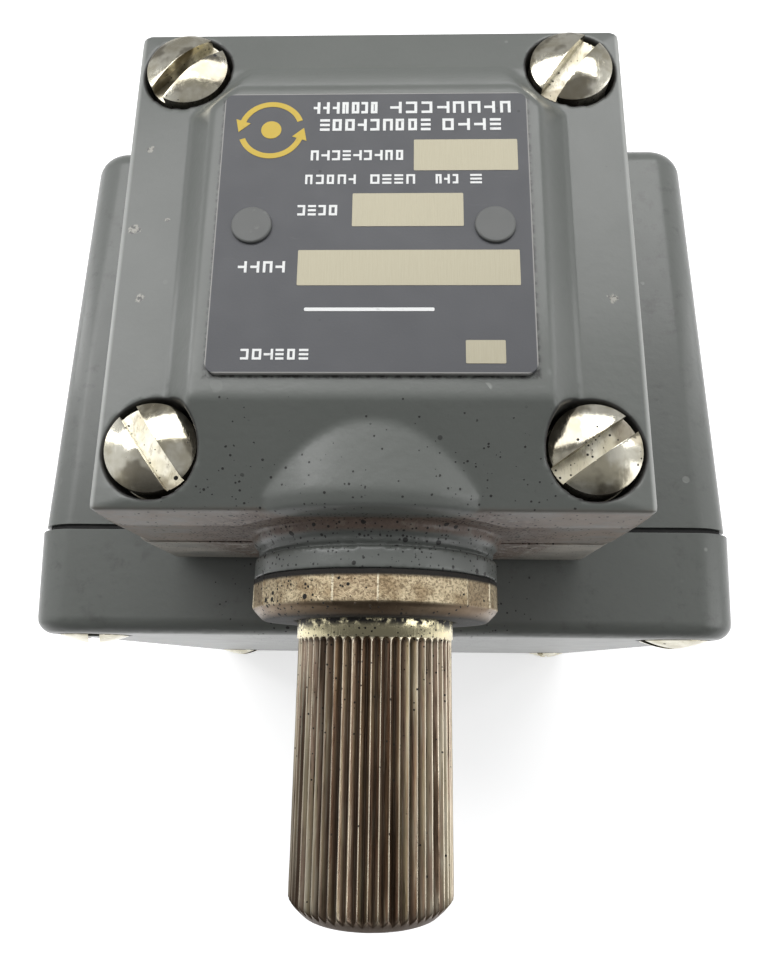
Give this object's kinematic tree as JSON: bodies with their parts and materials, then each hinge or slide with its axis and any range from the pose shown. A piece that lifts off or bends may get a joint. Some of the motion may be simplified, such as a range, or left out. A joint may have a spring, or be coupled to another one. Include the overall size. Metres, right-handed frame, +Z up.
{
  "type": "limit switch",
  "caption": "Heavy-duty limit switch with a rotary spring-centred operating head, serrated shaft and cast enclosure with a screwed front cover.",
  "frame": {"origin": "middle of the four mounting holes, on the enclosure's flat back face", "axes": "+X to the right seen from the front, -Y out of the front along the operating shaft, +Z up through the operating head"},
  "size_m": [0.1066, 0.1144, 0.1591],
  "materials": {
    "enamel": "satin enamel",
    "gasket_rubber": "matte",
    "bright_zinc": "bright zinc plate",
    "green_zinc": "green dyed zinc",
    "plate_anodised": "satin anodised print",
    "rivet_alloy": "dull",
    "nut_bronze": "rough bronze",
    "sleeve_bronze": "sintered bronze",
    "shaft_steel": "aged yellow zinc plate",
    "machined_steel": "machined",
    "spring_steel": "drawn wire",
    "phenolic": "moulded",
    "carrier_nylon": "moulded",
    "contact_brass": "stamped",
    "contact_silver": "silver"
  },
  "bodies": {
    "housing": {"enclosure_body": "enamel", "conduit_bushing": "bright_zinc", "enclosure_cover": "enamel", "cover_gasket": "gasket_rubber", "cover_screw_washers": "bright_zinc", "cover_screws": "bright_zinc", "head_base": "enamel", "head_cap": "enamel", "cap_gasket": "gasket_rubber", "head_gasket": "gasket_rubber", "head_lock_washers": "bright_zinc", "head_screws": "bright_zinc", "base_screws": "bright_zinc", "nameplate": "plate_anodised", "nameplate_rivets": "rivet_alloy", "bearing_nut": "nut_bronze", "bearing_sleeve": "sleeve_bronze", "shaft_seal": "gasket_rubber", "plunger_guide": "sleeve_bronze", "plunger_seal": "gasket_rubber", "contact_block_base": "phenolic", "contact_block_cover": "phenolic", "contact_block_screws": "bright_zinc", "left_fixed_contacts": "contact_brass", "right_fixed_contacts": "contact_brass", "fixed_contact_tips": "contact_silver", "terminal_clamps": "bright_zinc", "terminal_screws": "bright_zinc", "ground_washer": "bright_zinc", "ground_screw": "green_zinc"},
    "shaft": {"operating_shaft": "shaft_steel", "thrust_washer": "machined_steel", "crank_disc": "machined_steel", "crank_pin": "machined_steel", "crank_screw": "bright_zinc"},
    "plunger": {"yoke_plunger": "machined_steel", "spring_collar": "machined_steel", "upper_centring_spring": "spring_steel", "lower_centring_spring": "spring_steel"},
    "carrier": {"contact_carrier": "carrier_nylon", "upper_contact_bridge": "contact_brass", "lower_contact_bridge": "contact_brass", "upper_bridge_spring": "spring_steel", "lower_bridge_spring": "spring_steel", "bridge_tips": "contact_silver"}
  },
  "joints": [
    {"name": "shaft_turn", "type": "hinge", "parent": "housing", "child": "shaft", "pos_m": [0, -0.0415, 0.0761], "axis": [0, -1, 0], "range_deg": [-45, 45], "stiffness_Nm_per_rad": 0.4},
    {"name": "plunger_slide", "type": "slide", "parent": "housing", "child": "plunger", "axis": [0, 0, 1], "range_m": [-0.00354, 0.00354], "deforming": ["upper_centring_spring", "lower_centring_spring"]},
    {"name": "carrier_slide", "type": "slide", "parent": "housing", "child": "carrier", "axis": [0, 0, 1], "range_m": [-0.00354, 0.00354]}
  ],
  "couplings": [
    {"joint": "plunger_slide", "follows": "shaft_turn", "m_per_rad": 0.0045},
    {"joint": "carrier_slide", "follows": "shaft_turn", "m_per_rad": 0.0045}
  ]
}
